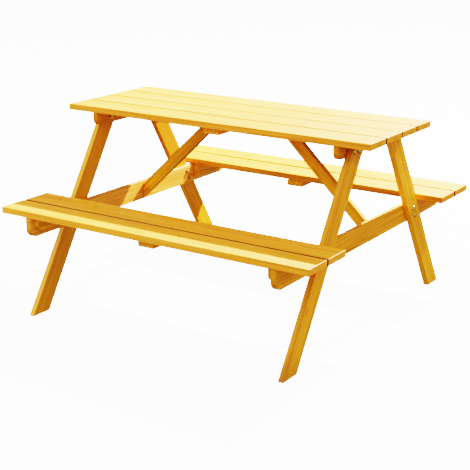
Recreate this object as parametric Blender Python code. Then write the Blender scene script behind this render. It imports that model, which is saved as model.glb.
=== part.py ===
"""A wooden A-frame picnic table with two attached benches.

Metres, +Z up. X runs along the boards, and the front bench lies towards -Y.
The origin is on the ground, under the middle of the tabletop.
Run it with: blender --background --python part.py
"""

from math import cos, pi, radians, sin, tan

import bmesh
import bpy
from mathutils import Matrix, Vector

# ---------------------------------------------------------------- driving dimensions
LENGTH = 1.300              # of the tabletop and of both benches
TABLE_HEIGHT = 0.740
SEAT_HEIGHT = 0.415
GAP = 0.0003                # left between pieces that touch

BOARD_WIDTH = 0.120
BOARD_THICKNESS = 0.024
TABLE_JOINTS = (0.005, 0.003, 0.004)    # open joints between the tabletop boards, front to rear
BENCH_JOINT = 0.008
BENCH_OUTER_Y = 0.642       # outer edge of each bench

TIMBER = 0.022              # thickness of the legs, bearers, end battens and end cleats
FRAME_OUTER_X = 0.555       # outer faces of the legs
EASED_EDGE = 0.0025         # rounding of the boards' edges
SAWN_EDGE = 0.0015          # rounding of the frame timber's edges
EDGE_SEGMENTS = 2
CORNER_STEPS = 8            # facets in a rounded corner

LEG_FOOT_OUTER_Y = 0.623    # outer corner of a leg where it meets the ground
LEG_CUT_WIDTH = 0.0880      # width of a leg measured along its level cuts
LEG_LEAN = 0.6284           # how far a leg leans inwards for each metre that it rises

BEARER_HEIGHT = 0.075
BEARER_CORNER = 0.035
TOP_BATTEN_HEIGHT = 0.048
TOP_BATTEN_CORNER = 0.025
TOP_BATTEN_END_Y = 0.246
CLEAT_HEIGHT = 0.052
CLEAT_CORNER = 0.025
CLEAT_OUTER_Y = 0.622
CLEAT_INNER_Y = 0.390
FLAT_CLEAT_WIDTH = 0.068    # the battens laid flat at mid length, under the top and the benches
FLAT_CLEAT_THICKNESS = 0.024
TOP_CENTRE_BATTEN_END_Y = 0.225

BRACE_WIDTH = 0.042
BRACE_THICKNESS = 0.024
BRACE_ANGLE = radians(43.4)
BRACE_TOP_X = 0.156         # where a brace's upper edge meets the underside of the top
BRACE_FRONT_Y = 0.034

BOLT_RADIUS = 0.0040
BOLT_HOLE_RADIUS = 0.0043
BOLT_HEAD_RADIUS = 0.0095
BOLT_HEAD_HEIGHT = 0.0045
BOLT_END_BEYOND_NUT = 0.0030
BOLT_SIDES = 16
NUT_HALF_FLATS = 0.0065
NUT_HEIGHT = 0.0065
NUT_HOLE_RADIUS = 0.0045
FLANGE_RADIUS = 0.0090
FLANGE_HEIGHT = 0.0015
NUT_SIDES = 12
SEAT_BOLT_HEIGHTS = {"upper": 0.370, "lower": 0.341}
TOP_BOLT_Z = 0.690
TOP_BOLT_YS = {"outer": 0.168, "inner": 0.137}

# ---------------------------------------------------------------- levels worked out from them
TABLE_UNDERSIDE = TABLE_HEIGHT - BOARD_THICKNESS
SEAT_UNDERSIDE = SEAT_HEIGHT - BOARD_THICKNESS
UNDER_TABLE = TABLE_UNDERSIDE - GAP
UNDER_SEAT = SEAT_UNDERSIDE - GAP
LEG_INNER_X = FRAME_OUTER_X - TIMBER
BEARER_OUTER_X = LEG_INNER_X - GAP
BEARER_INNER_X = BEARER_OUTER_X - TIMBER
CLEAT_FACE_OUTER_X = BEARER_INNER_X - GAP
CLEAT_FACE_INNER_X = CLEAT_FACE_OUTER_X - TIMBER
TABLE_WIDTH = 4 * BOARD_WIDTH + sum(TABLE_JOINTS)

SIDES = {"left": -1, "right": 1}
ENDS = {"front": -1, "rear": 1}


# ---------------------------------------------------------------- scene and materials
def remove_everything():
    for thing in list(bpy.data.objects):
        bpy.data.objects.remove(thing, do_unlink=True)


def make_material(name, colour, roughness, metallic):
    material = bpy.data.materials.new(name)
    material.use_nodes = True
    shader = material.node_tree.nodes["Principled BSDF"]
    shader.inputs["Base Color"].default_value = (*colour, 1.0)
    shader.inputs["Roughness"].default_value = roughness
    shader.inputs["Metallic"].default_value = metallic
    return material


# ---------------------------------------------------------------- solids
def add_object(name, mesh, material):
    thing = bpy.data.objects.new(name, mesh)
    thing.data.materials.append(material)
    bpy.context.scene.collection.objects.link(thing)
    return thing


def prism(name, outline, along, low, high, material):
    """A prism whose outline lies across the axis named by along, between low and high on it.

    The outline's points are (y, z) for along "X", (x, z) for "Y" and (x, y) for "Z".
    """
    place = {
        "X": lambda a, b: Vector((low, a, b)),
        "Y": lambda a, b: Vector((a, low, b)),
        "Z": lambda a, b: Vector((a, b, low)),
    }[along]
    travel = Vector([high - low if along == axis else 0.0 for axis in "XYZ"])
    shape = bmesh.new()
    base = shape.faces.new([shape.verts.new(place(a, b)) for a, b in outline])
    raised = bmesh.ops.extrude_face_region(shape, geom=[base])["geom"]
    moved = [item for item in raised if isinstance(item, bmesh.types.BMVert)]
    bmesh.ops.translate(shape, verts=moved, vec=travel)
    bmesh.ops.recalc_face_normals(shape, faces=shape.faces)
    mesh = bpy.data.meshes.new(name)
    shape.to_mesh(mesh)
    shape.free()
    return add_object(name, mesh, material)


def lathe(name, profile, sides, material, radius_at=None):
    """A solid turned about X from (x, radius) points, closed at both ends of the profile.

    A ring whose radius is None takes its radius at each angle from radius_at.
    """
    shape = bmesh.new()
    rings = []
    for x, radius in profile:
        if radius == 0.0:
            rings.append([shape.verts.new((x, 0.0, 0.0))])
            continue
        ring = []
        for step in range(sides):
            angle = 2 * pi * step / sides
            reach = radius_at(angle) if radius is None else radius
            ring.append(shape.verts.new((x, reach * cos(angle), reach * sin(angle))))
        rings.append(ring)
    closed = profile[0][1] != 0.0
    pairs = list(zip(rings, rings[1:]))
    if closed:
        pairs.append((rings[-1], rings[0]))
    for first, second in pairs:
        for step in range(sides):
            after = (step + 1) % sides
            corners = [
                first[step % len(first)], first[after % len(first)],
                second[after % len(second)], second[step % len(second)],
            ]
            shape.faces.new(list(dict.fromkeys(corners)))
    bmesh.ops.recalc_face_normals(shape, faces=shape.faces)
    mesh = bpy.data.meshes.new(name)
    shape.to_mesh(mesh)
    shape.free()
    mesh.shade_smooth()
    mesh.set_sharp_from_angle(angle=radians(35))
    return add_object(name, mesh, material)


def ease_edges(thing, width):
    bevel = thing.modifiers.new("eased_edges", "BEVEL")
    bevel.width = width
    bevel.segments = EDGE_SEGMENTS
    bevel.limit_method = "ANGLE"
    bevel.angle_limit = radians(30)


def drill(thing, centres):
    """Bolt holes along X through one piece, each at a (y, z) centre."""
    xs = [vertex.co.x for vertex in thing.data.vertices]
    middle_x = (min(xs) + max(xs)) / 2
    shape = bmesh.new()
    for y, z in centres:
        turn = Matrix.Translation((middle_x, y, z)) @ Matrix.Rotation(pi / 2, 4, "Y")
        bmesh.ops.create_cone(
            shape, cap_ends=True, segments=BOLT_SIDES, radius1=BOLT_HOLE_RADIUS,
            radius2=BOLT_HOLE_RADIUS, depth=2 * TIMBER, matrix=turn,
        )
    mesh = bpy.data.meshes.new(f"{thing.name}_drill")
    shape.to_mesh(mesh)
    shape.free()
    cutter = bpy.data.objects.new(mesh.name, mesh)
    cutter.hide_render = True
    cutter.display_type = "WIRE"
    bpy.context.scene.collection.objects.link(cutter)
    holes = thing.modifiers.new("bolt_holes", "BOOLEAN")
    holes.operation = "DIFFERENCE"
    holes.solver = "EXACT"
    holes.object = cutter


def across(side, inner, outer):
    """The low and high X of a piece that lies between two distances from the middle."""
    return sorted((SIDES[side] * inner, SIDES[side] * outer))


def rounded_below(y_low, y_high, z_low, z_high, radius, round_low=True, round_high=True):
    """A (y, z) outline with a square top edge and the chosen bottom corners rounded."""
    points = [(y_high, z_high), (y_low, z_high)]
    if round_low:
        for step in range(CORNER_STEPS + 1):
            angle = pi + (pi / 2) * step / CORNER_STEPS
            points.append((y_low + radius + radius * cos(angle), z_low + radius + radius * sin(angle)))
    else:
        points.append((y_low, z_low))
    if round_high:
        for step in range(CORNER_STEPS + 1):
            angle = 1.5 * pi + (pi / 2) * step / CORNER_STEPS
            points.append((y_high - radius + radius * cos(angle), z_low + radius + radius * sin(angle)))
    else:
        points.append((y_high, z_low))
    return points


# ---------------------------------------------------------------- boards
def add_board(name, y_low, z_top, wood):
    outline = [
        (y_low, z_top - BOARD_THICKNESS), (y_low + BOARD_WIDTH, z_top - BOARD_THICKNESS),
        (y_low + BOARD_WIDTH, z_top), (y_low, z_top),
    ]
    board = prism(name, outline, "X", -LENGTH / 2, LENGTH / 2, wood)
    ease_edges(board, EASED_EDGE)


def add_tabletop(wood):
    y = -TABLE_WIDTH / 2
    for number, joint in enumerate((*TABLE_JOINTS, 0.0), start=1):
        add_board(f"tabletop_board_{number}", y, TABLE_HEIGHT, wood)
        y += BOARD_WIDTH + joint


def add_benches(wood):
    for end, sign in ENDS.items():
        outer_middle = BENCH_OUTER_Y - BOARD_WIDTH / 2
        inner_middle = outer_middle - BOARD_WIDTH - BENCH_JOINT
        for place, middle in (("outer", outer_middle), ("inner", inner_middle)):
            y_low = sign * middle - BOARD_WIDTH / 2
            add_board(f"{end}_bench_board_{place}", y_low, SEAT_HEIGHT, wood)


# ---------------------------------------------------------------- frame timber
def leg_middle_y(z):
    return LEG_FOOT_OUTER_Y - LEG_CUT_WIDTH / 2 - LEG_LEAN * z


def seat_bolt_centres(sign):
    return [(sign * leg_middle_y(z), z) for z in SEAT_BOLT_HEIGHTS.values()]


def top_bolt_centres(sign):
    return [(sign * y, TOP_BOLT_Z) for y in TOP_BOLT_YS.values()]


def add_legs(wood):
    half = LEG_CUT_WIDTH / 2
    for end, sign in ENDS.items():
        for side in SIDES:
            outline = [
                (sign * (leg_middle_y(0) - half), 0.0), (sign * (leg_middle_y(0) + half), 0.0),
                (sign * (leg_middle_y(UNDER_TABLE) + half), UNDER_TABLE),
                (sign * (leg_middle_y(UNDER_TABLE) - half), UNDER_TABLE),
            ]
            low, high = across(side, LEG_INNER_X, FRAME_OUTER_X)
            leg = prism(f"leg_{end}_{side}", outline, "X", low, high, wood)
            ease_edges(leg, SAWN_EDGE)
            drill(leg, seat_bolt_centres(sign) + top_bolt_centres(sign))


def add_bearers_and_battens(wood):
    for side in SIDES:
        low, high = across(side, BEARER_INNER_X, BEARER_OUTER_X)
        outline = rounded_below(
            -BENCH_OUTER_Y, BENCH_OUTER_Y, SEAT_UNDERSIDE - BEARER_HEIGHT, UNDER_SEAT, BEARER_CORNER,
        )
        bearer = prism(f"seat_bearer_{side}", outline, "X", low, high, wood)
        ease_edges(bearer, SAWN_EDGE)
        drill(bearer, seat_bolt_centres(-1) + seat_bolt_centres(1))

        outline = rounded_below(
            -TOP_BATTEN_END_Y, TOP_BATTEN_END_Y, TABLE_UNDERSIDE - TOP_BATTEN_HEIGHT, UNDER_TABLE,
            TOP_BATTEN_CORNER,
        )
        batten = prism(f"tabletop_batten_{side}", outline, "X", low, high, wood)
        ease_edges(batten, SAWN_EDGE)
        drill(batten, top_bolt_centres(-1) + top_bolt_centres(1))


def add_bench_cleats(wood):
    for end, sign in ENDS.items():
        y_low, y_high = sorted((sign * CLEAT_INNER_Y, sign * CLEAT_OUTER_Y))
        for side in SIDES:
            low, high = across(side, CLEAT_FACE_INNER_X, CLEAT_FACE_OUTER_X)
            outline = rounded_below(
                y_low, y_high, SEAT_UNDERSIDE - CLEAT_HEIGHT, UNDER_SEAT, CLEAT_CORNER,
                round_low=sign < 0, round_high=sign > 0,
            )
            cleat = prism(f"{end}_bench_cleat_{side}", outline, "X", low, high, wood)
            ease_edges(cleat, SAWN_EDGE)
        add_flat_cleat(f"{end}_bench_cleat_centre", y_low, y_high, UNDER_SEAT, wood)


def add_top_centre_batten(wood):
    reach = TOP_CENTRE_BATTEN_END_Y
    add_flat_cleat("tabletop_batten_centre", -reach, reach, UNDER_TABLE, wood)


def add_flat_cleat(name, y_low, y_high, z_top, wood):
    half = FLAT_CLEAT_WIDTH / 2
    outline = [(-half, y_low), (half, y_low), (half, y_high), (-half, y_high)]
    cleat = prism(name, outline, "Z", z_top - FLAT_CLEAT_THICKNESS, z_top, wood)
    ease_edges(cleat, SAWN_EDGE)


def add_braces(wood):
    """Diagonal struts from the bearers up to the underside of the third tabletop board."""
    rise = tan(BRACE_ANGLE)
    cut_height = BRACE_WIDTH / cos(BRACE_ANGLE)
    butt_x = BEARER_INNER_X - GAP
    upper_z = UNDER_TABLE - (butt_x - BRACE_TOP_X) * rise
    for side, sign in SIDES.items():
        outline = [
            (sign * butt_x, upper_z), (sign * butt_x, upper_z - cut_height),
            (sign * (BRACE_TOP_X - cut_height / rise), UNDER_TABLE), (sign * BRACE_TOP_X, UNDER_TABLE),
        ]
        brace = prism(
            f"brace_{side}", outline, "Y", BRACE_FRONT_Y, BRACE_FRONT_Y + BRACE_THICKNESS, wood,
        )
        ease_edges(brace, SAWN_EDGE)


# ---------------------------------------------------------------- bolts and nuts
def bolt_profile():
    """A coach bolt as (x, radius): its head's underside is at x = 0 and its shank runs to -X."""
    tip = -(2 * TIMBER + GAP + 2 * GAP + FLANGE_HEIGHT + NUT_HEIGHT + BOLT_END_BEYOND_NUT)
    chamfer = BOLT_RADIUS * 0.25
    dome = [
        (BOLT_HEAD_HEIGHT * sin(angle), BOLT_HEAD_RADIUS * cos(angle))
        for angle in (radians(degrees) for degrees in (0, 30, 60))
    ]
    return [
        (tip, 0.0), (tip, BOLT_RADIUS - chamfer), (tip + chamfer, BOLT_RADIUS),
        (0.0, BOLT_RADIUS), *dome, (BOLT_HEAD_HEIGHT, 0.0),
    ]


def nut_profile():
    """A hexagon nut with a flange, whose flange's face is at x = 0 and whose nut runs to -X."""
    return [
        (0.0, NUT_HOLE_RADIUS), (0.0, FLANGE_RADIUS), (-FLANGE_HEIGHT, FLANGE_RADIUS),
        (-FLANGE_HEIGHT, None), (-FLANGE_HEIGHT - NUT_HEIGHT, None),
        (-FLANGE_HEIGHT - NUT_HEIGHT, NUT_HOLE_RADIUS),
    ]


def hexagon_radius(angle):
    """Distance from the centre to a hexagon's side, with a corner at angle 0."""
    from_flat = (angle % (pi / 3)) - pi / 6
    return NUT_HALF_FLATS / cos(from_flat)


def place_fastener(thing, side, x, y, z):
    thing.location = (SIDES[side] * x, y, z)
    if SIDES[side] < 0:
        thing.rotation_euler = (0.0, 0.0, pi)


def add_fasteners(metal):
    head_x = FRAME_OUTER_X + GAP
    nut_x = BEARER_INNER_X - GAP
    for end, sign in ENDS.items():
        for side in SIDES:
            seat = dict(zip(SEAT_BOLT_HEIGHTS, seat_bolt_centres(sign)))
            top = dict(zip(TOP_BOLT_YS, top_bolt_centres(sign)))
            for joint, centres in (("seat", seat), ("top", top)):
                for place, (y, z) in centres.items():
                    where = f"{end}_{side}_{place}"
                    bolt = lathe(f"{joint}_bolt_{where}", bolt_profile(), BOLT_SIDES, metal)
                    place_fastener(bolt, side, head_x, y, z)
                    nut = lathe(
                        f"{joint}_nut_{where}", nut_profile(), NUT_SIDES, metal, hexagon_radius,
                    )
                    place_fastener(nut, side, nut_x, y, z)


def build():
    remove_everything()
    top_wood = make_material("board_wood", (0.90, 0.68, 0.30), 0.45, 0.0)
    frame_wood = make_material("frame_wood", (0.72, 0.36, 0.04), 0.50, 0.0)
    zinc = make_material("zinc_plated_steel", (0.62, 0.62, 0.60), 0.35, 1.0)
    add_tabletop(top_wood)
    add_benches(top_wood)
    add_legs(frame_wood)
    add_bearers_and_battens(frame_wood)
    add_top_centre_batten(frame_wood)
    add_bench_cleats(frame_wood)
    add_braces(frame_wood)
    add_fasteners(zinc)


build()
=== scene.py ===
from itertools import product
from math import cos, pi, radians, sin, tan

import bmesh
import bpy
from mathutils import Matrix, Quaternion, Vector


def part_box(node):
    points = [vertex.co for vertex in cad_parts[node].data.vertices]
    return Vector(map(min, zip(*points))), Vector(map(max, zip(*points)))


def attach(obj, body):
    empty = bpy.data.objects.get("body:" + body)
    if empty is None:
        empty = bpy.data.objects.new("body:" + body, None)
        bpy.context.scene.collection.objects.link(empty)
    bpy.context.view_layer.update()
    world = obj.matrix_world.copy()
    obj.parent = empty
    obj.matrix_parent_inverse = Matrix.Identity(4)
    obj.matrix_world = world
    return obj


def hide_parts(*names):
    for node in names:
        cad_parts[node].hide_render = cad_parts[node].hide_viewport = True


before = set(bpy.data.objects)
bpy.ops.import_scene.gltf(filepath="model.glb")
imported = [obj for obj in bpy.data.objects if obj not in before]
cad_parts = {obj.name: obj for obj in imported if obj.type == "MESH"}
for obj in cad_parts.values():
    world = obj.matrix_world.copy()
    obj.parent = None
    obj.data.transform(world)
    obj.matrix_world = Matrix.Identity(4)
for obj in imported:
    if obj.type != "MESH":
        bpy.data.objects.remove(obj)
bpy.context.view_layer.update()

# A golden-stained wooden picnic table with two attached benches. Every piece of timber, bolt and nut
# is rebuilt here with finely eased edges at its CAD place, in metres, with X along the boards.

SIDES = {"left": -1, "right": 1}
ENDS = {"front": -1, "rear": 1}
BOLT_PLACES = {"seat": ("upper", "lower"), "top": ("outer", "inner")}

# Shapes that a node's box doesn't give
LEG_FOOT_OUTER_Y = 0.623
LEG_CUT_WIDTH = 0.0880      # width of a leg along its level cuts
LEG_LEAN = 0.6284           # how far a leg leans inwards for each metre of height
BEARER_CORNER = 0.035
TOP_BATTEN_CORNER = 0.025
CLEAT_CORNER = 0.025
CORNER_STEPS = 16
BRACE_WIDTH = 0.042
BRACE_ANGLE = radians(43.4)
BRACE_TOP_X = 0.156         # where a brace's upper edge meets the tabletop
BOLT_HOLE_RADIUS = 0.0043
BOLT_HOLE_SIDES = 32
BOARD_EASE = 0.0020         # radius of the boards' eased edges
FRAME_EASE = 0.0016         # radius of the frame timber's eased edges
EASE_SEGMENTS = 4
SHARP_ANGLE = radians(30)

# Which way a face is turned, as cosines
FACING = 0.6                # from here on a face counts as turned along an axis
SQUARE = 0.985              # below this for every axis, it belongs to an eased edge
JOINT_FROM = 0.35           # from here on it counts as turned towards a joint, and gets painted joint shade
SUNLIT_JOINT_FROM = 0.15    # the same for boards in full light, where the whole eased edge gets painted joint shade

BOLT_RADIUS = 0.0040
THREAD_PITCH = 0.00125
THREAD_DEPTH = 0.0006
THREAD_TURNS = 14
THREAD_CREST = (0.35, 0.60)    # where the flat crest starts and ends, as shares of the pitch
THREAD_RUN_OUT = 0.4        # how soon the last groove ends, as a share of the pitch
HEAD_RADIUS = 0.0095
HEAD_HEIGHT = 0.0045
HEAD_RIM = 0.0010           # height of the head's straight rim, below its dome
HEAD_CHAMFER = 0.0004
DOME_STEPS = 10             # steps in a whole quarter turn
DOME_KEPT_STEPS = 7         # the dome stops here, at its flat middle
SOCKET_HALF_FLATS = 0.0025
SOCKET_DEPTH = 0.0026
SOCKET_CHAMFER = 0.0003     # how far the socket's mouth is widened
SOCKET_CHAMFER_DEPTH = 0.0002
SOCKET_CONE = 0.0005        # depth of the drill point at the socket's floor
NUT_HALF_FLATS = 0.0065
NUT_HEIGHT = 0.0065
NUT_CHAMFER = 0.0006
NUT_CLEARANCE = 0.0002      # from the bolt to the nut's bore
FLANGE_RADIUS = 0.0090
FLANGE_HEIGHT = 0.0015
FLANGE_CHAMFER = 0.0003
TURNED_SIDES = 48

SCREW_HEAD_RADIUS = 0.0042
SCREW_CHAMFER = 0.0003
SCREW_LIFT = 0.0002         # how far a screw head stands proud of the wood
SCREW_SUNK = 0.0004         # how far its edge reaches into the wood
SCREW_SIDES = 32
SLOT_REACH = 0.58           # length of an arm of the cross, as a share of the head's radius
SLOT_HALF_WIDTH = 0.13      # half an arm's width, as a share of the head's radius
SLOT_DEPTH = 0.0010
SLOT_TAPER = 0.7            # size of the cross at its floor, as a share of its mouth
SCREW_ASIDE = 0.016         # from a flat batten's middle line to its screws
SCREW_END_MARGIN = 0.035    # least distance from a screw to the end of its batten

# Stain colours, as linear RGB: pale and orange patches of spring wood, and the dark summer rings
# the boards hold more blue than the legs and the frame, so that their lit tops come out cream while the
# frame's shade stays deep: painted light and shade
BOARD_TONES = {
    "pale": (0.95, 0.385, 0.072), "orange": (0.93, 0.310, 0.040), "dark": (0.49, 0.154, 0.011),
}
LEG_TONES = {
    "pale": (0.95, 0.400, 0.040), "orange": (0.93, 0.318, 0.020), "dark": (0.42, 0.138, 0.004),
}
FRAME_TONES = {
    "pale": (0.94, 0.385, 0.038), "orange": (0.92, 0.308, 0.019), "dark": (0.42, 0.138, 0.004),
}
TONES = {"board_wood": BOARD_TONES, "leg_wood": LEG_TONES, "frame_wood": FRAME_TONES}
TONE_SPREAD = 0.04          # how much the pieces differ in brightness
BRIGHTEST = 0.98            # the most that a channel of a stain colour can be
KNOT_SHADE = (0.30, 0.085, 0.006)
# painted shade inside the joints between boards, and a darker one for boards in full light, where a
# thin joint line is lost among the bright tops
JOINT_PAINTED_SHADE = (0.17, 0.068, 0.002)
SUNLIT_JOINT_PAINTED_SHADE = (0.03, 0.016, 0.002)
RING_BRUISE_AND_SHADOW = (0.05, 0.018, 0.002)    # bruised wood round the bolts, with a painted contact shadow
ZINC = (0.80, 0.55, 0.22)
ZINC_DULL = (0.52, 0.35, 0.13)

# Noises: waves per metre along the grain, across it and through the piece, a shift, and the detail.
# A shift moves a noise along SHIFT_COURSE, and each piece has its own.
SLOW_WAVE = ((1.6, 7.0, 7.0), 0.0, 1.0)
QUICK_WAVE = ((7.0, 45.0, 45.0), 9.0, 2.0)
FIBRES = ((6.0, 260.0, 260.0), 21.0, 3.0)
STREAKS = ((2.2, 85.0, 85.0), 33.0, 2.0)
PATCHES = ((2.4, 13.0, 13.0), 47.0, 2.0)
MOTTLE = ((420.0, 420.0, 420.0), 1.3, 3.0)
SHIFT_COURSE = (1.0, 1.7, 0.6)
SEED_TO_SHIFT = 3.71
SEED_TO_BRIGHTNESS = 12.9
SLOW_SWING = 0.022          # metres that the slow wave bends the rings
QUICK_SWING = 0.0022

# What a noise stands for, as (contrast, average)
WARMTH = (1.9, 0.38)        # from pale wood at 0 to orange wood at 1
WOOD_ROUGHNESS = (0.25, 0.47)
ZINC_DULLNESS = (0.9, 0.4)
ZINC_ROUGHNESS = (0.35, 0.34)

RING_GAP = 0.0042           # metres from one year ring to the next
BRUISE_AND_SHADOW_REACH = 2 * HEAD_RADIUS

# Profiles of (place, level): one year ring, a knot from its heart to its edge, and a bruise with its
# painted contact shadow from the bolt's middle to the reach above
RING_PROFILE = ((0.0, 0.05), (0.45, 0.22), (0.80, 0.95), (0.90, 1.0), (1.0, 0.08))
KNOT_PROFILE = ((0.0, 0.75), (0.40, 0.55), (0.70, 0.50), (1.0, 0.0))
BRUISE_AND_SHADOW_PROFILE = ((0.0, 1.0), (0.54, 0.95), (0.68, 0.0))
KNOT_SQUEEZE = 0.62         # knots are longer along the grain
KNOT_FADE = 1.5             # the rings' bend round a knot dies away over this many radii
KNOT_PUSH = 2.6
KNOT_STRENGTH = 0.6

# How much each feature darkens the stain
RING_DARKNESS = 0.40
FIBRE_DARKNESS = 1.0
STREAK_DARKNESS = 1.35
ARRIS_DARKNESS = 0.30
END_GRAIN_DARKNESS = 0.12
END_ZONE = 0.12             # metres at each end over which the end darkening grows
TOP_SLOPE = 3.0             # the top darkening and the painted side shade are full a third of the half length beyond top_from

END_GRAIN_ROUGHNESS = 0.15  # added on the end grain
RELIEF_DEPTH = 0.0004
RELIEF_STRENGTH = 0.35
RING_RELIEF = 0.5
FIBRE_RELIEF = 1.2

# What sets one piece of wood apart; add_timber takes any of these by name
PLAIN_LOOK = {
    "pith": (0.012, -0.060),     # the log's centre, across and through the piece
    "drift": 0.012,              # how fast the rings shift along the piece
    "depth": 1.0,                # contrast of the grain
    "stain": 0.16,               # darkness all over: the stain, and on some pieces painted shade too
    "side_stain": 0.0,           # painted shade on the narrow sides, painted light where below zero
    "end_stain": 0.0,            # extra darkness towards both ends
    "top_stain": 0.0,            # extra darkness beyond top_from along the grain
    "top_side_stain": 0.0,       # painted shade beyond top_from, on the narrow sides alone
    "top_from": -0.10,           # where those two start, as a share of the half length
    # colour factors for the piece, set partly to suit the light on it: painted light and shade as well
    # as tone
    "tint": (1.0, 1.0, 1.0),
    "knots": (),                 # each (along, across, radius)
    # the painted shade on the faces inside a joint
    "joint_painted_shade": JOINT_PAINTED_SHADE,
}


# ---------------------------------------------------------------- camera, light and floor
def add_camera():
    """The camera, at eye height in front of the table and to its right."""
    position = Vector((2.285, -3.597, 1.558))
    target = Vector((-0.079, 0.063, 0.225))
    roll = radians(0.37)
    data = bpy.data.cameras.new("camera")
    data.sensor_width = 36.0
    data.lens = 87.85
    camera = bpy.data.objects.new("camera", data)
    camera.location = position
    camera.rotation_mode = "QUATERNION"
    level = (target - position).to_track_quat("-Z", "Y")
    camera.rotation_quaternion = level @ Quaternion((0.0, 0.0, 1.0), roll)
    bpy.context.scene.collection.objects.link(camera)
    bpy.context.scene.camera = camera


def add_key_light():
    """A small bright lamp high behind the table, a little to the right."""
    data = bpy.data.lights.new("key", "POINT")
    data.energy = 6200.0
    data.shadow_soft_size = 0.05
    data.color = (1.0, 0.95, 0.95)
    lamp = bpy.data.objects.new("key", data)
    lamp.location = (0.675, 3.22, 4.03)
    bpy.context.scene.collection.objects.link(lamp)


def add_side_light():
    """A wide soft lamp at the front left, which lifts the table's left half a little."""
    data = bpy.data.lights.new("side", "AREA")
    data.shape = "DISK"
    data.size = 2.4
    data.energy = 70.0
    data.color = (1.0, 0.96, 0.86)
    lamp = bpy.data.objects.new("side", data)
    lamp.location = (-3.0, -2.6, 2.0)
    lamp.rotation_mode = "QUATERNION"
    lamp.rotation_quaternion = (-lamp.location).to_track_quat("-Z", "Y")
    bpy.context.scene.collection.objects.link(lamp)


def add_world():
    """Soft light that is strongest from the front right and above, with a white backdrop."""
    brightest_from = (0.57, -0.37, 0.73)
    darkest, brightest = 0.20, 1.34
    world = bpy.data.worlds.new("studio")
    bpy.context.scene.world = world
    world.use_nodes = True
    tree = world.node_tree
    tree.nodes.clear()
    link = tree.links.new
    where = tree.nodes.new("ShaderNodeTexCoord")
    along = tree.nodes.new("ShaderNodeVectorMath")
    along.operation = "DOT_PRODUCT"
    along.inputs[1].default_value = brightest_from
    link(where.outputs["Generated"], along.inputs[0])
    strength = tree.nodes.new("ShaderNodeMapRange")
    strength.interpolation_type = "SMOOTHSTEP"
    strength.inputs["From Min"].default_value = -0.5
    strength.inputs["From Max"].default_value = 1.0
    strength.inputs["To Min"].default_value = darkest
    strength.inputs["To Max"].default_value = brightest
    link(along.outputs["Value"], strength.inputs["Value"])
    fill = tree.nodes.new("ShaderNodeBackground")
    fill.inputs["Color"].default_value = (1.0, 0.98, 0.78, 1.0)
    link(strength.outputs["Result"], fill.inputs["Strength"])
    backdrop = tree.nodes.new("ShaderNodeBackground")
    backdrop.inputs["Strength"].default_value = 6.0
    ray = tree.nodes.new("ShaderNodeLightPath")
    chosen = tree.nodes.new("ShaderNodeMixShader")
    link(ray.outputs["Is Camera Ray"], chosen.inputs["Fac"])
    link(fill.outputs["Background"], chosen.inputs[1])
    link(backdrop.outputs["Background"], chosen.inputs[2])
    out = tree.nodes.new("ShaderNodeOutputWorld")
    link(chosen.outputs["Shader"], out.inputs["Surface"])


def add_floor():
    """A glowing floor that comes out nearly white, and is hidden from the table's own light."""
    half = 12.0
    mesh = bpy.data.meshes.new("floor")
    mesh.from_pydata(
        [(-half, -half, 0.0), (half, -half, 0.0), (half, half, 0.0), (-half, half, 0.0)],
        [], [(0, 1, 2, 3)],
    )
    floor_piece = bpy.data.objects.new("floor", mesh)
    bpy.context.scene.collection.objects.link(floor_piece)
    material = bpy.data.materials.new("pale_floor")
    material.use_nodes = True
    shader = material.node_tree.nodes["Principled BSDF"]
    shader.inputs["Base Color"].default_value = (0.60, 0.60, 0.60, 1.0)
    shader.inputs["Roughness"].default_value = 1.0
    shader.inputs["Specular IOR Level"].default_value = 0.0
    shader.inputs["Emission Color"].default_value = (1.0, 1.0, 1.0, 1.0)
    shader.inputs["Emission Strength"].default_value = 4.6
    mesh.materials.append(material)
    floor_piece.visible_diffuse = False
    floor_piece.visible_glossy = False


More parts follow.
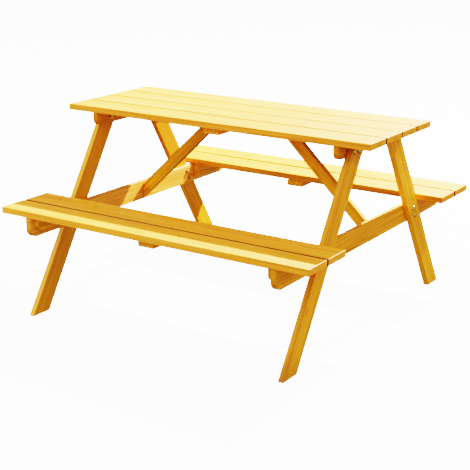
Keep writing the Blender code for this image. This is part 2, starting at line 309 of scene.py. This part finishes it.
# ---------------------------------------------------------------- materials
class Nodes:
    """Short ways to add the nodes of one material."""

    def __init__(self, tree):
        self.tree = tree

    def add(self, kind, **settings):
        node = self.tree.nodes.new(kind)
        for name, value in settings.items():
            setattr(node, name, value)
        return node

    def put(self, socket, value):
        if isinstance(value, bpy.types.NodeSocket):
            self.tree.links.new(value, socket)
        else:
            socket.default_value = value

    def attribute(self, name):
        return self.add("ShaderNodeAttribute", attribute_name=name).outputs["Fac"]

    def math(self, operation, first, second=None, third=None):
        node = self.add("ShaderNodeMath", operation=operation)
        for socket, value in zip(node.inputs, (first, second, third)):
            if value is not None:
                self.put(socket, value)
        return node.outputs["Value"]

    def vector(self, operation, first, second=None):
        node = self.add("ShaderNodeVectorMath", operation=operation)
        self.put(node.inputs[0], first)
        if second is not None:
            self.put(node.inputs[1], second)
        return node.outputs["Value" if operation in ("LENGTH", "DOT_PRODUCT") else "Vector"]

    def distance(self, where, point, shares):
        """How far where is from point, with each axis multiplied by its share."""
        away = self.vector("SUBTRACT", where, point)
        return self.vector("LENGTH", self.vector("MULTIPLY", away, shares))

    def clamp(self, value):
        node = self.add("ShaderNodeClamp")
        self.put(node.inputs["Value"], value)
        return node.outputs["Result"]

    def noise(self, where, kind, shift=0.0):
        """Noise of one kind, between about -0.5 and 0.5."""
        waves, own_shift, detail = kind
        shift += own_shift
        stretched = self.vector("MULTIPLY", where, waves)
        moved = self.vector("ADD", stretched, [shift * share for share in SHIFT_COURSE])
        node = self.add("ShaderNodeTexNoise")
        self.put(node.inputs["Vector"], moved)
        node.inputs["Scale"].default_value = 1.0
        node.inputs["Detail"].default_value = detail
        return self.math("SUBTRACT", node.outputs["Fac"], 0.5)

    def profile(self, value, stops):
        """The level at value, from stops of (place, level)."""
        node = self.add("ShaderNodeValToRGB")
        self.put(node.inputs["Fac"], value)
        bar = node.color_ramp
        while len(bar.elements) < len(stops):
            bar.elements.new(0.5)
        for element, (place, level) in zip(bar.elements, stops):
            element.position = place
            element.color = (level, level, level, 1.0)
        # the multiplication turns the grey colour into a number
        return self.math("MULTIPLY", node.outputs["Color"], 1.0)

    def mix(self, factor, first, second):
        node = self.add("ShaderNodeMix", data_type="RGBA", blend_type="MIX")
        self.put(node.inputs["Factor"], factor)
        for socket, colour in (("A", first), ("B", second)):
            is_fixed = not isinstance(colour, bpy.types.NodeSocket)
            self.put(node.inputs[socket], (*colour, 1.0) if is_fixed else colour)
        return node.outputs["Result"]


def wood_material(name, seed, tones, look, half_length, rings):
    """Stained softwood cut from a log, worked out in the piece's own grain space.

    The grain attribute holds metres along the grain, across the face and through the thickness. The
    year rings are cylinders round the pith, which drift along the piece and so make arches on its
    faces. rings are the centres of the dark rings round the bolts, bruised wood with a painted contact
    shadow, each (along, across).
    """
    material = bpy.data.materials.new(name)
    material.use_nodes = True
    shader = material.node_tree.nodes["Principled BSDF"]
    make = Nodes(material.node_tree)
    grain = make.add("ShaderNodeAttribute", attribute_name="grain").outputs["Vector"]
    along = make.vector("DOT_PRODUCT", grain, (1.0, 0.0, 0.0))
    shift = seed * SEED_TO_SHIFT
    fibre = make.noise(grain, FIBRES, shift)
    ends = make.attribute("end_grain")

    bent = log_distance(make, grain, along, shift, look)
    bent, knot_mask = bend_round_knots(make, grain, bent, look["knots"])
    year = make.math("FRACT", make.math("DIVIDE", bent, RING_GAP))
    ring = make.profile(year, RING_PROFILE)

    streak = make.noise(grain, STREAKS, shift)
    darkness = stain_darkness(make, along, ring, fibre, streak, look, half_length)
    warmth = make.clamp(make.math("MULTIPLY_ADD", make.noise(grain, PATCHES, shift), *WARMTH))
    brightness = 1.0 + TONE_SPREAD * sin(seed * SEED_TO_BRIGHTNESS)
    pale, orange, dark = (
        [min(BRIGHTEST, brightness * channel * share) for channel, share in zip(tone, look["tint"])]
        for tone in (tones["pale"], tones["orange"], tones["dark"])
    )
    colour = make.mix(darkness, make.mix(warmth, pale, orange), dark)
    if knot_mask is not None:
        colour = make.mix(make.math("MULTIPLY", knot_mask, KNOT_STRENGTH), colour, KNOT_SHADE)
    colour = make.mix(make.math("MULTIPLY", ends, END_GRAIN_DARKNESS), colour, dark)
    # dark rings round the bolts: bruised wood with a painted contact shadow
    for ring_along, ring_across in rings:
        reach = make.distance(grain, (ring_along, ring_across, 0.0), (1.0, 1.0, 0.0))
        bruise_and_shadow = make.profile(make.math("DIVIDE", reach, BRUISE_AND_SHADOW_REACH), BRUISE_AND_SHADOW_PROFILE)
        colour = make.mix(bruise_and_shadow, colour, RING_BRUISE_AND_SHADOW)
    # painted shade on the faces inside a joint between boards
    colour = make.mix(make.attribute("joint"), colour, look["joint_painted_shade"])
    make.put(shader.inputs["Base Color"], colour)
    shader.inputs["Specular IOR Level"].default_value = 0.3

    rough = make.math("MULTIPLY_ADD", fibre, *WOOD_ROUGHNESS)
    make.put(shader.inputs["Roughness"], make.math("MULTIPLY_ADD", ends, END_GRAIN_ROUGHNESS, rough))

    bump = make.add("ShaderNodeBump")
    bump.inputs["Strength"].default_value = RELIEF_STRENGTH
    bump.inputs["Distance"].default_value = RELIEF_DEPTH
    fibre_height = make.math("MULTIPLY", fibre, FIBRE_RELIEF)
    make.put(bump.inputs["Height"], make.math("MULTIPLY_ADD", ring, RING_RELIEF, fibre_height))
    make.put(shader.inputs["Normal"], bump.outputs["Normal"])
    return material


def log_distance(make, grain, along, shift, look):
    """The distance from the log's pith, bent by a slow and a quick wave."""
    pith_across, pith_through = look["pith"]
    radial = make.distance(grain, (0.0, pith_across, pith_through), (0.0, 1.0, 1.0))
    bent = make.math("MULTIPLY_ADD", along, look["drift"], radial)
    bent = make.math("MULTIPLY_ADD", make.noise(grain, SLOW_WAVE, shift), SLOW_SWING, bent)
    return make.math("MULTIPLY_ADD", make.noise(grain, QUICK_WAVE, shift), QUICK_SWING, bent)


def bend_round_knots(make, grain, bent, knots):
    """Bends the rings round each knot, and gives the knots' mask too, or None if there are none."""
    mask = None
    for along, across, radius in knots:
        reach = make.distance(grain, (along, across, 0.0), (KNOT_SQUEEZE, 1.0, 0.0))
        push = make.math("EXPONENT", make.math("MULTIPLY", reach, -1.0 / (KNOT_FADE * radius)))
        bent = make.math("MULTIPLY_ADD", push, KNOT_PUSH * radius, bent)
        core = make.profile(make.math("DIVIDE", reach, radius), KNOT_PROFILE)
        mask = core if mask is None else make.math("MAXIMUM", mask, core)
    return bent, mask


def stain_darkness(make, along, ring, fibre, streak, look, half_length):
    """How dark the stain and the painted shade are, from 0 to 1; painted light lowers it."""
    darkness = make.math("MULTIPLY", ring, RING_DARKNESS * look["depth"])
    darkness = make.math("MULTIPLY_ADD", fibre, FIBRE_DARKNESS * look["depth"], darkness)
    darkness = make.math("MULTIPLY_ADD", streak, STREAK_DARKNESS * look["depth"], darkness)
    darkness = make.math("MULTIPLY_ADD", make.attribute("arris"), ARRIS_DARKNESS, darkness)
    sides = make.attribute("side")
    # painted shade on the narrow sides, painted light where the share is below zero
    darkness = make.math("MULTIPLY_ADD", sides, look["side_stain"], darkness)
    if look["end_stain"]:
        near_end = make.math("SUBTRACT", make.math("ABSOLUTE", along), half_length - END_ZONE)
        near_end = make.math("MAXIMUM", make.math("DIVIDE", near_end, END_ZONE), 0.0)
        darkness = make.math("MULTIPLY_ADD", near_end, look["end_stain"], darkness)
    # darker beyond top_from along the grain, and painted shade there on the narrow sides
    if look["top_stain"] or look["top_side_stain"]:
        slope, start = TOP_SLOPE / half_length, -TOP_SLOPE * look["top_from"]
        beyond = make.clamp(make.math("MULTIPLY_ADD", along, slope, start))
        on_sides = make.math("MULTIPLY", beyond, sides)
        darkness = make.math("MULTIPLY_ADD", beyond, look["top_stain"], darkness)
        darkness = make.math("MULTIPLY_ADD", on_sides, look["top_side_stain"], darkness)
    return make.clamp(make.math("ADD", darkness, look["stain"]))


def zinc_material():
    """Steel with a yellow zinc plating, slightly mottled and dulled."""
    material = bpy.data.materials.new("zinc_plate")
    material.use_nodes = True
    shader = material.node_tree.nodes["Principled BSDF"]
    shader.inputs["Metallic"].default_value = 1.0
    make = Nodes(material.node_tree)
    where = make.add("ShaderNodeTexCoord").outputs["Object"]
    mottle = make.noise(where, MOTTLE)
    dull = make.math("MULTIPLY_ADD", mottle, *ZINC_DULLNESS)
    make.put(shader.inputs["Base Color"], make.mix(dull, ZINC, ZINC_DULL))
    make.put(shader.inputs["Roughness"], make.math("MULTIPLY_ADD", mottle, *ZINC_ROUGHNESS))
    return material


# ---------------------------------------------------------------- timber meshes
def new_object(name, mesh):
    thing = bpy.data.objects.new(name, mesh)
    bpy.context.scene.collection.objects.link(thing)
    return thing


def prism_mesh(name, outline, along, low, high):
    """A prism whose outline lies across the axis named by along, between low and high on it."""
    place = {
        "X": lambda a, b: Vector((low, a, b)),
        "Y": lambda a, b: Vector((a, low, b)),
        "Z": lambda a, b: Vector((a, b, low)),
    }[along]
    travel = Vector([high - low if along == axis else 0.0 for axis in "XYZ"])
    shape = bmesh.new()
    base = shape.faces.new([shape.verts.new(place(a, b)) for a, b in outline])
    raised = bmesh.ops.extrude_face_region(shape, geom=[base])["geom"]
    moved = [item for item in raised if isinstance(item, bmesh.types.BMVert)]
    bmesh.ops.translate(shape, verts=moved, vec=travel)
    mesh = finished_mesh(shape, name)
    mesh.shade_smooth()
    return mesh


def finished_mesh(shape, name):
    """A mesh from a bmesh, which it frees, with every face turned outwards."""
    bmesh.ops.recalc_face_normals(shape, faces=shape.faces)
    mesh = bpy.data.meshes.new(name)
    shape.to_mesh(mesh)
    shape.free()
    return mesh


def drill_mesh(centres, middle_x, depth):
    """Cutters for bolt holes along X, each at a (y, z) centre and depth long."""
    shape = bmesh.new()
    for y, z in centres:
        turn = Matrix.Translation((middle_x, y, z)) @ Matrix.Rotation(pi / 2, 4, "Y")
        bmesh.ops.create_cone(
            shape, cap_ends=True, segments=BOLT_HOLE_SIDES, radius1=BOLT_HOLE_RADIUS,
            radius2=BOLT_HOLE_RADIUS, depth=depth, matrix=turn,
        )
    mesh = bpy.data.meshes.new("drill")
    shape.to_mesh(mesh)
    shape.free()
    return mesh


def add_timber(node, outline, along, low, high, ease, grain_axis, face_axis, slot, holes=(),
               joint_sides=(), joint_from=JOINT_FROM, bruised_and_shaded=True, **look):
    """One piece of wood in place of a CAD node.

    The outline lies across the axis named by along, from low to high on it. grain_axis runs along the
    grain, and face_axis through the thickness, out of the broad face. Bolt holes are given by their
    (y, z) centres, and round each the wood is darkened, for a bruise with a painted contact shadow,
    unless that is turned off. Faces turned towards a joint side by more than joint_from get the
    painted joint shade. The look is what differs from PLAIN_LOOK.
    """
    draft = new_object(node + "_draft", prism_mesh(node, outline, along, low, high))
    bevel = draft.modifiers.new("eased_edges", "BEVEL")
    bevel.width = ease
    bevel.segments = EASE_SEGMENTS
    bevel.limit_method = "ANGLE"
    bevel.angle_limit = SHARP_ANGLE
    cutter = None
    if holes:
        cutter = new_object("drill", drill_mesh(holes, (low + high) / 2, 4 * abs(high - low)))
        cut = draft.modifiers.new("bolt_holes", "BOOLEAN")
        cut.operation = "DIFFERENCE"
        cut.object = cutter
    weigh = draft.modifiers.new("even_shading", "WEIGHTED_NORMAL")
    weigh.keep_sharp = True
    bpy.context.view_layer.update()
    solved = draft.evaluated_get(bpy.context.evaluated_depsgraph_get())
    mesh = bpy.data.meshes.new_from_object(solved)
    bpy.data.objects.remove(draft)
    if cutter is not None:
        bpy.data.objects.remove(cutter)

    grain_axis = Vector(grain_axis).normalized()
    face_axis = Vector(face_axis).normalized()
    axes = (grain_axis, face_axis.cross(grain_axis), face_axis)
    middle = add_grain_space(mesh, axes)
    mark_faces(mesh, axes, [Vector(side) for side in joint_sides] or [Vector()], joint_from)
    away = [Vector((middle.x, y, z)) - middle for y, z in holes]
    rings = [(place.dot(axes[0]), place.dot(axes[1])) for place in away] if bruised_and_shaded else []
    half_length = max(abs((vertex.co - middle).dot(grain_axis)) for vertex in mesh.vertices)
    piece = new_object("wood_" + node, mesh)
    mesh.materials.clear()
    mesh.materials.append(wood_material(
        "stained_" + node, seed_of(node), TONES[slot], {**PLAIN_LOOK, **look}, half_length, rings,
    ))
    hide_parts(node)
    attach(piece, "root")


def seed_of(name):
    """A steady number between 0 and 100 from a name."""
    total = 0
    for letter in name:
        total = (total * 31 + ord(letter)) % 9973
    return total * 100.0 / 9973


def add_grain_space(mesh, axes):
    """Stores each point's place in metres on the piece's own axes, and gives the piece's middle."""
    corners = [vertex.co for vertex in mesh.vertices]
    middle = sum(corners, Vector()) / len(corners)
    for axis in axes:
        reach = [corner.dot(axis) for corner in corners]
        middle += axis * ((min(reach) + max(reach)) / 2 - middle.dot(axis))
    places = []
    for vertex in mesh.vertices:
        away = vertex.co - middle
        places += [away.dot(axis) for axis in axes]
    grain = mesh.attributes.new("grain", "FLOAT_VECTOR", "POINT")
    grain.data.foreach_set("vector", places)
    return middle


def mark_faces(mesh, axes, joint_sides, joint_from):
    """Marks the end grain, the eased edges, the narrow sides and the faces inside a joint; the last two
    carry painted shade.
    """
    grain_axis, across_axis, _ = axes
    marks = {"end_grain": [], "arris": [], "side": [], "joint": []}
    for face in mesh.polygons:
        marks["end_grain"].append(abs(face.normal.dot(grain_axis)) > FACING)
        marks["arris"].append(max(abs(face.normal.dot(axis)) for axis in axes) < SQUARE)
        marks["side"].append(abs(face.normal.dot(across_axis)) > FACING)
        marks["joint"].append(max(face.normal.dot(side) for side in joint_sides) > joint_from)
    for name, values in marks.items():
        mark = mesh.attributes.new(name, "FLOAT", "FACE")
        mark.data.foreach_set("value", [float(value) for value in values])


def rounded_below(y_low, y_high, z_low, z_high, radius, round_low=True, round_high=True):
    """A (y, z) outline with a square top edge and the chosen bottom corners rounded."""
    points = [(y_high, z_high), (y_low, z_high)]
    corners = (
        (y_low, y_low + radius, pi, round_low),
        (y_high, y_high - radius, 1.5 * pi, round_high),
    )
    for y_corner, y_centre, start, rounded in corners:
        if not rounded:
            points.append((y_corner, z_low))
            continue
        for step in range(CORNER_STEPS + 1):
            angle = start + (pi / 2) * step / CORNER_STEPS
            points.append((y_centre + radius * cos(angle), z_low + radius + radius * sin(angle)))
    return points


def rectangle(a_low, a_high, b_low, b_high):
    """A rectangle's outline, with its corners in order."""
    return [(a_low, b_low), (a_high, b_low), (a_high, b_high), (a_low, b_high)]


# ---------------------------------------------------------------- the table's timber
def add_boards():
    """The boards of the tabletop and the benches, with painted shade on their sides in the joints."""
    sunlit = dict(joint_from=SUNLIT_JOINT_FROM, joint_painted_shade=SUNLIT_JOINT_PAINTED_SHADE)
    # the side shares are painted shade on the boards' front edges, painted light where below zero
    looks = {
        "tabletop_board_1": dict(pith=(0.020, -0.055), drift=0.010, side_stain=0.24, **sunlit),
        "tabletop_board_2": dict(pith=(-0.045, -0.040), drift=-0.012, **sunlit),
        "tabletop_board_3": dict(pith=(0.035, -0.070), drift=0.008, **sunlit),
        "tabletop_board_4": dict(pith=(-0.010, -0.048), drift=0.014, **sunlit),
        # its front edge is painted a little lighter, and painted darker towards its right-hand end
        "front_bench_board_outer": dict(
            pith=(-0.030, -0.060), drift=0.010, side_stain=-0.12, top_side_stain=0.15, top_from=0.2,
        ),
        "front_bench_board_inner": dict(
            pith=(0.015, -0.045), drift=-0.013, knots=((-0.365, 0.013, 0.010), (-0.224, 0.019, 0.007)),
        ),
        # both rear boards hold less blue, which holds back the lamp's strong light on them: painted
        # shade
        "rear_bench_board_inner": dict(
            pith=(0.040, -0.050), drift=0.011, side_stain=0.34, tint=(1.0, 1.0, 0.78), **sunlit,
        ),
        "rear_bench_board_outer": dict(
            pith=(-0.020, -0.065), drift=-0.009, tint=(1.0, 0.99, 0.68), **sunlit,
        ),
    }
    boxes = {node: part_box(node) for node in looks}
    for node, look in looks.items():
        low, high = boxes[node]
        outline = rectangle(low.y, high.y, low.z, high.z)
        add_timber(
            node, outline, "X", low.x, high.x, BOARD_EASE, (1, 0, 0), (0, 0, 1), "board_wood",
            joint_sides=joint_sides_of(low, high, boxes.values()), **look,
        )


def joint_sides_of(low, high, boxes):
    """The directions in which a board has a neighbour on its own level."""
    widest_joint = 0.02
    same_level = 0.001
    directions = []
    for other_low, other_high in boxes:
        if abs(other_low.z - low.z) >= same_level:
            continue
        if abs(other_low.y - high.y) < widest_joint:
            directions.append((0, 1, 0))
        if abs(other_high.y - low.y) < widest_joint:
            directions.append((0, -1, 0))
    return directions


def bolt_centres(joint, end, side):
    """The (y, z) of the bolts of one joint, from their CAD nodes."""
    centres = []
    for place in BOLT_PLACES[joint]:
        low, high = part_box(f"{joint}_bolt_{end}_{side}_{place}")
        centres.append(((low.y + high.y) / 2, (low.z + high.z) / 2))
    return centres


def add_legs():
    """The four sloping legs, each cut level at its foot and under the tabletop."""
    # the side shares are painted shade on the legs' narrow faces, painted light where below zero
    looks = {
        # dark all over, partly its own tone and partly painted shade for its place in the bench's
        # shadow
        "leg_front_left": dict(stain=0.60, side_stain=-0.42, depth=0.35),
        # its narrow faces get painted shade, heavier towards the top, where the bench shades them
        "leg_front_right": dict(
            stain=0.10, side_stain=0.30, end_stain=0.60, top_side_stain=0.22, tint=(1.0, 0.95, 1.0),
            knots=((-0.197, 0.024, 0.011),),
        ),
        "leg_rear_left": dict(stain=0.33, end_stain=0.45, top_stain=0.62, tint=(1.0, 0.93, 0.70)),
        "leg_rear_right": dict(stain=0.12, end_stain=0.15, knots=((0.10, -0.012, 0.006),)),
    }
    for (end, sign), (side, outward) in product(ENDS.items(), SIDES.items()):
        node = f"leg_{end}_{side}"
        low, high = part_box(node)
        reach = LEG_LEAN * high.z
        foot_inner = LEG_FOOT_OUTER_Y - LEG_CUT_WIDTH
        outline = [
            (sign * foot_inner, 0.0), (sign * LEG_FOOT_OUTER_Y, 0.0),
            (sign * (LEG_FOOT_OUTER_Y - reach), high.z), (sign * (foot_inner - reach), high.z),
        ]
        add_timber(
            node, outline, "X", low.x, high.x, FRAME_EASE, (0, -sign * LEG_LEAN, 1), (outward, 0, 0),
            "leg_wood", bolt_centres("seat", end, side) + bolt_centres("top", end, side),
            pith=(0.020 * sign, -0.035), drift=0.014 * outward, **looks[node],
        )


def add_bearers_and_battens():
    """The rails bolted inside the legs: a seat bearer and a tabletop batten at each end."""
    looks = {
        # its raised blue is painted light, for the pale cream of its lit patch
        "seat_bearer_left": dict(stain=0.27, tint=(1.0, 1.00, 2.4)),
        "seat_bearer_right": dict(stain=0.16, tint=(1.0, 0.96, 1.0)),
        "tabletop_batten_left": dict(stain=0.85, depth=0.4, bruised_and_shaded=False),
        "tabletop_batten_right": dict(stain=0.72, bruised_and_shaded=False),
    }
    rails = (("seat_bearer", BEARER_CORNER, "seat"), ("tabletop_batten", TOP_BATTEN_CORNER, "top"))
    for (side, outward), (kind, corner, joint) in product(SIDES.items(), rails):
        node = f"{kind}_{side}"
        low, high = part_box(node)
        outline = rounded_below(low.y, high.y, low.z, high.z, corner)
        add_timber(
            node, outline, "X", low.x, high.x, FRAME_EASE, (0, 1, 0), (-outward, 0, 0), "frame_wood",
            bolt_centres(joint, "front", side) + bolt_centres(joint, "rear", side),
            pith=(0.030 * outward, -0.030), drift=0.012, **looks[node],
        )


def add_cleats():
    """The upright cleats under the benches' ends, and the three flat pieces in the middle."""
    for (end, sign), (side, outward) in product(ENDS.items(), SIDES.items()):
        node = f"{end}_bench_cleat_{side}"
        low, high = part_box(node)
        outline = rounded_below(
            low.y, high.y, low.z, high.z, CLEAT_CORNER, round_low=sign < 0, round_high=sign > 0,
        )
        add_timber(
            node, outline, "X", low.x, high.x, FRAME_EASE, (0, 1, 0), (-outward, 0, 0), "frame_wood",
            pith=(-0.020, -0.030), stain=0.24,
        )
    for node in ("front_bench_cleat_centre", "rear_bench_cleat_centre", "tabletop_batten_centre"):
        low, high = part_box(node)
        outline = rectangle(low.x, high.x, low.y, high.y)
        add_timber(
            node, outline, "Z", low.z, high.z, FRAME_EASE, (0, 1, 0), (0, 0, -1), "frame_wood",
            pith=(0.015, -0.030),
        )


def add_braces():
    """The two braces, each with a level cut under the tabletop and an upright one at its bearer."""
    rise = tan(BRACE_ANGLE)
    cut_height = BRACE_WIDTH / cos(BRACE_ANGLE)
    for side, sign in SIDES.items():
        node = f"brace_{side}"
        low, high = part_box(node)
        butt_x = max(abs(low.x), abs(high.x))
        upper_z = high.z - (butt_x - BRACE_TOP_X) * rise
        outline = [
            (sign * butt_x, upper_z), (sign * butt_x, upper_z - cut_height),
            (sign * (BRACE_TOP_X - cut_height / rise), high.z), (sign * BRACE_TOP_X, high.z),
        ]
        # each brace's narrow sides get painted shade from the top down to near the leg, where the
        # tabletop shades them
        add_timber(
            node, outline, "Y", low.y, high.y, FRAME_EASE, (-sign, 0, rise), (0, -1, 0), "frame_wood",
            pith=(0.010, -0.025), drift=0.016 * sign, stain=0.20, top_side_stain=0.9, top_from=-0.42,
            tint=(1.0, 1.02, 0.7),
        )


# ---------------------------------------------------------------- bolts and nuts
def turned_mesh(name, profile, closed):
    """A solid turned about X from (x, radius) points; a radius may be a function of the angle."""
    shape = bmesh.new()
    rings = []
    for x, radius in profile:
        if radius == 0.0:
            rings.append([shape.verts.new((x, 0.0, 0.0))])
            continue
        ring = []
        for step in range(TURNED_SIDES):
            angle = 2 * pi * step / TURNED_SIDES
            reach = radius(angle) if callable(radius) else radius
            ring.append(shape.verts.new((x, reach * cos(angle), reach * sin(angle))))
        rings.append(ring)
    pairs = list(zip(rings, rings[1:]))
    if closed:
        pairs.append((rings[-1], rings[0]))
    for first, second in pairs:
        for step in range(TURNED_SIDES):
            after = (step + 1) % TURNED_SIDES
            corners = [
                first[step % len(first)], first[after % len(first)],
                second[after % len(second)], second[step % len(second)],
            ]
            shape.faces.new(list(dict.fromkeys(corners)))
    mesh = finished_mesh(shape, name)
    mesh.shade_smooth()
    mesh.set_sharp_from_angle(angle=SHARP_ANGLE)
    return mesh


def hexagon(half_flats):
    """The distance from the centre to a hexagon's side, as a function of the angle."""
    return lambda angle: half_flats / cos((angle % (pi / 3)) - pi / 6)


def hexagon_within(half_flats, limit):
    """A hexagon whose corners are cut back to a circle."""
    side = hexagon(half_flats)
    return lambda angle: min(side(angle), limit)


def coach_bolt_mesh(length):
    """A domed head with a hexagon socket from x = 0 outwards, and a shank to -X with a threaded end."""
    thread_start = -length + THREAD_TURNS * THREAD_PITCH
    root = BOLT_RADIUS - THREAD_DEPTH
    profile = [(-length, 0.0), (-length, root)]
    x = -length
    while x < thread_start:
        profile += [(x + share * THREAD_PITCH, BOLT_RADIUS) for share in THREAD_CREST]
        profile.append((x + THREAD_PITCH, root))
        x += THREAD_PITCH
    profile += [(x + THREAD_RUN_OUT * THREAD_PITCH, BOLT_RADIUS), (0.0, BOLT_RADIUS)]
    profile += [(0.0, HEAD_RADIUS - HEAD_CHAMFER), (HEAD_CHAMFER, HEAD_RADIUS), (HEAD_RIM, HEAD_RADIUS)]
    dome = HEAD_HEIGHT - HEAD_RIM
    for step in range(1, DOME_KEPT_STEPS + 1):
        angle = (pi / 2) * step / DOME_STEPS
        profile.append((HEAD_RIM + dome * sin(angle), HEAD_RADIUS * cos(angle)))
    top = HEAD_RIM + dome * sin(DOME_KEPT_STEPS / DOME_STEPS * pi / 2)
    socket = hexagon(SOCKET_HALF_FLATS)
    mouth = SOCKET_HALF_FLATS / cos(pi / 6) + SOCKET_CHAMFER
    profile += [(top, mouth), (top - SOCKET_CHAMFER_DEPTH, socket)]
    profile += [(top - SOCKET_DEPTH, socket), (top - SOCKET_DEPTH - SOCKET_CONE, 0.0)]
    return turned_mesh("coach_bolt", profile, closed=False)


def flanged_nut_mesh():
    """A hexagon nut on a washer, from the washer's face at x = 0 to -X."""
    bore = BOLT_RADIUS + NUT_CLEARANCE
    top = -FLANGE_HEIGHT - NUT_HEIGHT
    flats = hexagon(NUT_HALF_FLATS)
    chamfered = hexagon_within(NUT_HALF_FLATS, NUT_HALF_FLATS / cos(pi / 6) - NUT_CHAMFER)
    profile = [
        (0.0, bore), (0.0, FLANGE_RADIUS - FLANGE_CHAMFER), (-FLANGE_CHAMFER, FLANGE_RADIUS),
        (-FLANGE_HEIGHT + FLANGE_CHAMFER, FLANGE_RADIUS),
        (-FLANGE_HEIGHT, FLANGE_RADIUS - FLANGE_CHAMFER), (-FLANGE_HEIGHT, chamfered),
        (-FLANGE_HEIGHT - 0.5 * NUT_CHAMFER, flats),
        (top + 0.5 * NUT_CHAMFER, flats), (top, chamfered),
        (top, bore + NUT_CHAMFER), (top + NUT_CHAMFER, bore),
    ]
    return turned_mesh("flanged_nut", profile, closed=True)


def add_fasteners(zinc):
    """Every bolt with its nut, each pair at its own turn; bolts of one length share a mesh."""
    bolt_meshes = {}
    nut = flanged_nut_mesh()
    nut.materials.append(zinc)
    for joint, end, (side, outward) in product(BOLT_PLACES, ENDS, SIDES.items()):
        for number, place in enumerate(BOLT_PLACES[joint]):
            where = f"{end}_{side}_{place}"
            node = f"{joint}_bolt_{where}"
            low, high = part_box(node)
            length = high.x - low.x - HEAD_HEIGHT
            key = round(length, 5)
            if key not in bolt_meshes:
                bolt_meshes[key] = coach_bolt_mesh(length)
                bolt_meshes[key].materials.append(zinc)
            y, z = (low.y + high.y) / 2, (low.z + high.z) / 2
            seat_x = high.x - HEAD_HEIGHT if outward > 0 else low.x + HEAD_HEIGHT
            # tightened to no set angle, so each differs
            spin = radians(17 + 41 * number + 23 * seed_of(where))
            place_fastener(bolt_meshes[key], "zinc_" + node, node, (seat_x, y, z), outward, spin)
            node = f"{joint}_nut_{where}"
            low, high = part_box(node)
            face_x = high.x if outward > 0 else low.x
            place_fastener(nut, "zinc_" + node, node, (face_x, y, z), outward, spin)


def place_fastener(mesh, name, node, location, outward, spin):
    """One bolt or nut in place of a CAD node, turned half round on the left-hand side."""
    piece = new_object(name, mesh)
    turn = Matrix.Rotation(0.0 if outward > 0 else pi, 4, "Z") @ Matrix.Rotation(spin, 4, "X")
    piece.matrix_world = Matrix.Translation(location) @ turn
    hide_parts(node)
    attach(piece, "root")


# ---------------------------------------------------------------- wood screws, driven from below
def screw_heads(name, places, zinc):
    """Flat cross-recessed screw heads in one mesh, facing down, each at an (x, y, z)."""
    shape = bmesh.new()
    angles = [2 * pi * step / SCREW_SIDES for step in range(SCREW_SIDES)]
    for number, (x, y, z) in enumerate(places):
        # each cross is left at its own angle
        spin = radians(37 * number + 11)
        centre = Vector((x, y, z - SCREW_LIFT))
        plain = [1.0] * SCREW_SIDES
        rings = [
            ring_at(shape, centre, SCREW_LIFT + SCREW_SUNK, angles, plain, SCREW_HEAD_RADIUS),
            ring_at(shape, centre, 0.5 * SCREW_CHAMFER, angles, plain, SCREW_HEAD_RADIUS),
            ring_at(shape, centre, 0.0, angles, plain, SCREW_HEAD_RADIUS - SCREW_CHAMFER),
        ]
        cross = [cross_reach(angle - spin) for angle in angles]
        rings.append(ring_at(shape, centre, 0.0, angles, cross, 1.0))
        rings.append(ring_at(shape, centre, SLOT_DEPTH, angles, cross, SLOT_TAPER))
        for first, second in zip(rings, rings[1:]):
            for step in range(SCREW_SIDES):
                after = (step + 1) % SCREW_SIDES
                shape.faces.new((first[step], first[after], second[after], second[step]))
        shape.faces.new(rings[-1])
        shape.faces.new(list(reversed(rings[0])))
    mesh = finished_mesh(shape, name)
    mesh.shade_smooth()
    mesh.set_sharp_from_angle(angle=SHARP_ANGLE)
    mesh.materials.append(zinc)
    piece = new_object(name, mesh)
    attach(piece, "root")


def ring_at(shape, centre, raised, angles, reaches, size):
    """Points round centre, raised above it, each at its own reach times size."""
    middle = centre + Vector((0, 0, raised))
    return [
        shape.verts.new(middle + reach * size * Vector((cos(angle), sin(angle), 0)))
        for angle, reach in zip(angles, reaches)
    ]


def cross_reach(angle):
    """How far the cross-shaped recess reaches in a direction."""
    arm = SCREW_HEAD_RADIUS * SLOT_REACH
    slot_half = SCREW_HEAD_RADIUS * SLOT_HALF_WIDTH
    narrower = min(abs(cos(angle)), abs(sin(angle)))
    return min(arm, slot_half / max(narrower, 1e-4))


def add_screws(zinc):
    """Two screws up into each board from the flat battens, and one from each upright piece."""
    top_boards = [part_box(f"tabletop_board_{number}") for number in (1, 2, 3, 4)]
    for side in (*SIDES, "centre"):
        add_screw_row(f"tabletop_batten_{side}", top_boards, side == "centre", zinc)
    for end in ENDS:
        boards = [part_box(f"{end}_bench_board_{place}") for place in ("outer", "inner")]
        for side in (*SIDES, "centre"):
            add_screw_row(f"{end}_bench_cleat_{side}", boards, side == "centre", zinc)


def add_screw_row(node, boards, paired, zinc):
    """Screws up through one piece into each board's middle, or as near as the piece's ends allow."""
    low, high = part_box(node)
    middle_x = (low.x + high.x) / 2
    places = []
    for board_low, board_high in boards:
        middle_y = (board_low.y + board_high.y) / 2
        outwards = 1 if middle_y > 0 else -1
        limit = 0.5 * (low.y + high.y) + 0.5 * (high.y - low.y - 2 * SCREW_END_MARGIN) * outwards
        y = min(middle_y, limit) if middle_y > 0 else max(middle_y, limit)
        for sign in ((-1, 1) if paired else (0,)):
            places.append((middle_x + sign * SCREW_ASIDE, y, low.z))
    screw_heads("screws_" + node, places, zinc)


# ---------------------------------------------------------------- build
# a view with strong contrast, as in bright sunlight
bpy.context.scene.view_settings.view_transform = "Filmic"
bpy.context.scene.view_settings.look = "Very High Contrast"
add_camera()
add_key_light()
add_side_light()
add_world()
add_floor()
add_boards()
add_legs()
add_bearers_and_battens()
add_cleats()
add_braces()
zinc_plate = zinc_material()
add_fasteners(zinc_plate)
add_screws(zinc_plate)
